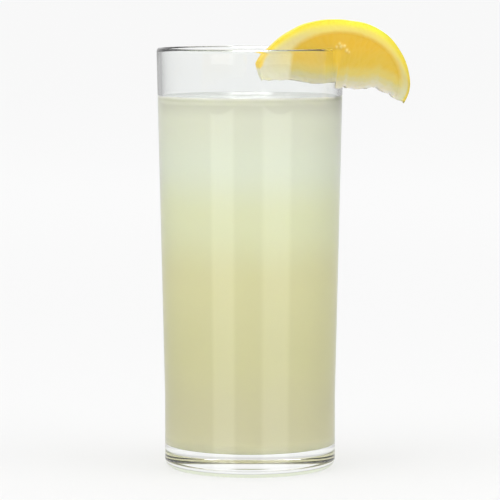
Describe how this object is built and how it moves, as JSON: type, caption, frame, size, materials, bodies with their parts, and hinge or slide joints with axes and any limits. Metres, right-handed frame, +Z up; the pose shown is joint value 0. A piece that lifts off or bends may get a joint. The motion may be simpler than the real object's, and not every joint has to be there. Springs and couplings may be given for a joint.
{
  "type": "glass of lemonade",
  "caption": "Tall straight clear tumbler filled with cloudy pale yellow-green lemonade, with a lengthwise half slice of lemon slit and hooked over its lip.",
  "frame": {"origin": "centre of the foot, on the surface that the glass stands on", "axes": "+Z up along the axis of the glass; the lemon slice hangs over the lip towards +X, a little towards -Y; the view in which it is usually seen looks along +Y"},
  "size_m": [0.0897, 0.0664, 0.1603],
  "materials": {
    "clear_glass": "polished",
    "cloudy_lemonade": "gloss",
    "lemon": "satin"
  },
  "bodies": {
    "root": {"glass": "clear_glass", "lemonade": "cloudy_lemonade", "lemon_slice": "lemon"}
  },
  "joints": []
}
